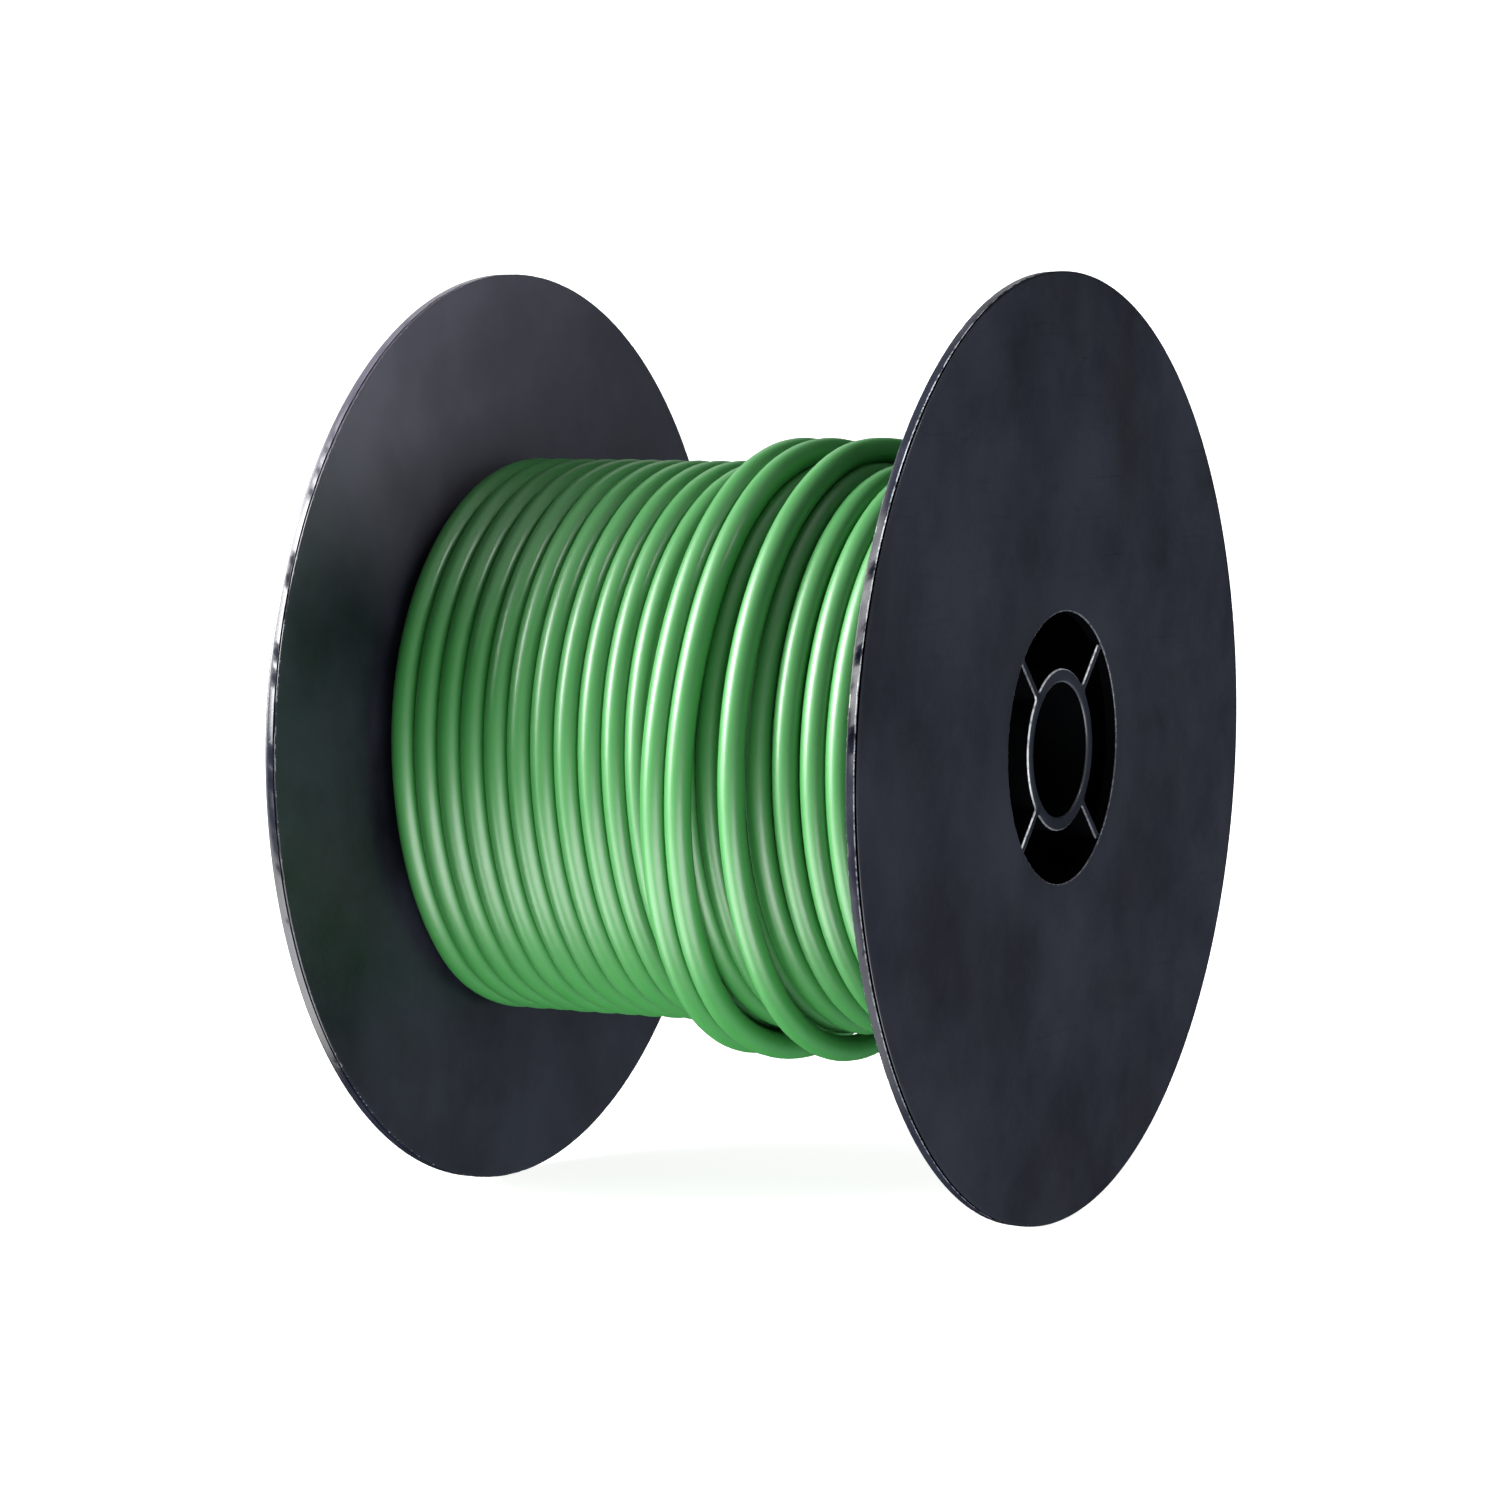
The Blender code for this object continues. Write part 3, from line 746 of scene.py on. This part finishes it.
def spool_half(name, near, mat, node):
    sign = -1.0 if near else 1.0
    profile, tags = half_profile(near)
    profile = [(r, sign * y) for r, y in profile]
    shell = link(bpy.data.objects.new(
        name, turned(name, profile, SEGMENTS, nicks(7 if near else 8, tags, sign))))
    start = JOINT_GAP if near else SPIGOT_L + 0.6
    extra = [bpy.data.objects.new(name + "_hub", hub_insert(name + "_hub", sign, start))]
    if not near:
        extra.append(bpy.data.objects.new(name + "_sleeve", plain_tube(
            name + "_sleeve", BORE_R, ARBOR_R, JOINT_GAP, SPIGOT_L + 0.8)))
    for obj in extra:
        link(obj)
        mod = shell.modifiers.new("union", "BOOLEAN")
        mod.operation = "UNION"
        mod.solver = "EXACT"
        mod.object = obj
    bpy.context.view_layer.update()
    deps = bpy.context.evaluated_depsgraph_get()
    mesh = bpy.data.meshes.new_from_object(shell.evaluated_get(deps))
    shell.modifiers.clear()
    shell.data = mesh
    for obj in extra:
        bpy.data.objects.remove(obj, do_unlink=True)
    mesh.materials.clear()
    mesh.materials.append(mat)
    mesh.materials.append(SHADE_PAINT)
    mesh.materials.append(PLASTIC_RIM if near else PLASTIC_OUTER)
    for poly in mesh.polygons:
        c = poly.center
        rad, dep = math.hypot(c.x, c.z) / MM, HALF - abs(c.y) / MM
        side_on = abs(poly.normal.y) < 0.3
        if near:
            groove = 0.13 < dep < 0.39
        else:
            groove = 0.16 < FLANGE_T - dep < 0.37
        # painted shade: the walls inside the hub, the barrel's inside and the groove on the rim take
        # the near-black material
        if (rad < 17.2 and dep > HUB_RECESS + 0.26 and side_on) or (
                rad < BARREL_IN + 0.1 and dep > FLANGE_T + 0.3) or (
                groove and FLANGE_R - 0.60 < rad < FLANGE_R - 0.10):
            poly.material_index = 1
        elif near and rad > FLANGE_R - 0.20 and side_on and dep > 0.39:
            poly.material_index = 2
        elif not near and dep < 0.12 and rad > OPENING_R:
            poly.material_index = 2
    mesh.shade_smooth()
    mesh.set_sharp_from_angle(angle=math.radians(34))
    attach(shell, "root")
    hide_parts(node)
    return shell


near_half = spool_half("spool_near_half", True, PLASTIC_NEAR, "near_spool_half")
far_half = spool_half("spool_far_half", False, PLASTIC_FAR, "far_spool_half")


# ------------------------------------------------------------ floor, lights
def backdrop():
    """White floor that curves up into a wall behind the object."""
    depth, rise, width = 3.2, 2.6, 5.0
    rows = [(-2.4, 0.0), (-0.6, 0.0), (0.6, 0.0), (depth - 1.2, 0.0)]
    rows += [(depth - 1.2 + 1.2 * math.sin(math.radians(a)),
              1.2 - 1.2 * math.cos(math.radians(a))) for a in range(6, 91, 6)]
    rows.append((depth, rise))
    back = Vector((0.8883878, 0.4508885, 0.0)).normalized()
    right = Vector((back.y, -back.x, 0.0))
    verts = []
    for d, h in rows:
        for w in (-width, width):
            p = back * d + right * w
            verts.append((p.x, p.y, h - FLANGE_R * MM))
    faces = [(2 * i, 2 * i + 1, 2 * i + 3, 2 * i + 2) for i in range(len(rows) - 1)]
    mesh = mesh_from("floor", verts, faces)
    mesh.shade_smooth()
    obj = link(bpy.data.objects.new("floor", mesh))
    mat, n, bsdf = new_material("pale_floor")
    bsdf.inputs["Base Color"].default_value = (0.45, 0.45, 0.45, 1.0)
    bsdf.inputs["Roughness"].default_value = 0.9
    bsdf.inputs["Specular IOR Level"].default_value = 0.0
    bsdf.inputs["Emission Color"].default_value = (1.0, 1.0, 1.0, 1.0)
    bsdf.inputs["Emission Strength"].default_value = 0.88
    mesh.materials.append(mat)
    obj.visible_glossy = False
    obj.visible_diffuse = False
    obj.visible_shadow = False
    return obj


backdrop()

world = bpy.data.worlds.new("studio")
bpy.context.scene.world = world
world.use_nodes = True
wt = world.node_tree
wn = Nodes(wt)
background = wt.nodes["Background"]
direction = wn.add("ShaderNodeTexCoord").outputs["Generated"]


def toward(azimuth, elevation):
    """Direction, azimuth from -X towards +Y, in degrees."""
    az, el = math.radians(azimuth), math.radians(elevation)
    return Vector((-math.cos(az) * math.cos(el), math.sin(az) * math.cos(el), math.sin(el)))


def patch(azimuth, elevation, inner, outer, strength):
    """A soft round patch of light, radii in degrees."""
    dot = wn.add("ShaderNodeVectorMath", operation="DOT_PRODUCT")
    wt.links.new(direction, dot.inputs[0])
    dot.inputs[1].default_value = toward(azimuth, elevation)
    return wn.ramp(dot.outputs["Value"], math.cos(math.radians(outer)),
                   math.cos(math.radians(inner)), 0.0, strength)


LIGHTS = (
    # the window: a broad bright area to the left, behind the far flange's plane
    (62, 25, 6, 20, 9.5), (66, 41, 5, 17, 11.5), (64, 5, 6, 19, 5.8), (82, 34, 6, 20, 6.5),
    # its brightest strip, which the far flange hides from the first turns
    (47, 23, 5, 14, 30.0), (47, 38, 5, 13, 16.5), (47, 7, 5, 13, 21.0), (48, -8, 4, 12, 6.0),
    # white table top below
    (54, -42, 12, 33, 6.8), (5, -45, 12, 36, 1.0), (-50, -42, 12, 36, 7.2),
    # ceiling and the room behind
    (0, 82, 20, 45, 0.7), (135, 30, 12, 32, 0.8), (-40, 10, 15, 40, 0.6),
    # small lamp that catches the edges of the hub
    (-97, 42, 3, 9, 15.0),
)
# the dim side of the room that the outer face of the near flange reflects
ROOM = ((-123, 0, 8, 31, 0.62), (-140, -40, 12, 36, 0.25))


def sum_of(specs):
    total = None
    for spec in specs:
        value = patch(*spec)
        total = value if total is None else wn.math("ADD", total, value)
    return total


wt.links.new(sum_of(LIGHTS), background.inputs["Strength"])
background.inputs["Color"].default_value = (1.0, 1.0, 1.0, 1.0)
room = wn.add("ShaderNodeBackground", {"Color": (0.84, 0.95, 1.13, 1.0)})
wt.links.new(wn.math("ADD", sum_of(ROOM), 0.02), room.inputs["Strength"])
both = wn.add("ShaderNodeAddShader")
wt.links.new(background.outputs[0], both.inputs[0])
wt.links.new(room.outputs[0], both.inputs[1])
wt.links.new(both.outputs[0], wt.nodes["World Output"].inputs["Surface"])

scene = bpy.context.scene
scene.view_settings.view_transform = "Standard"
scene.view_settings.look = "None"
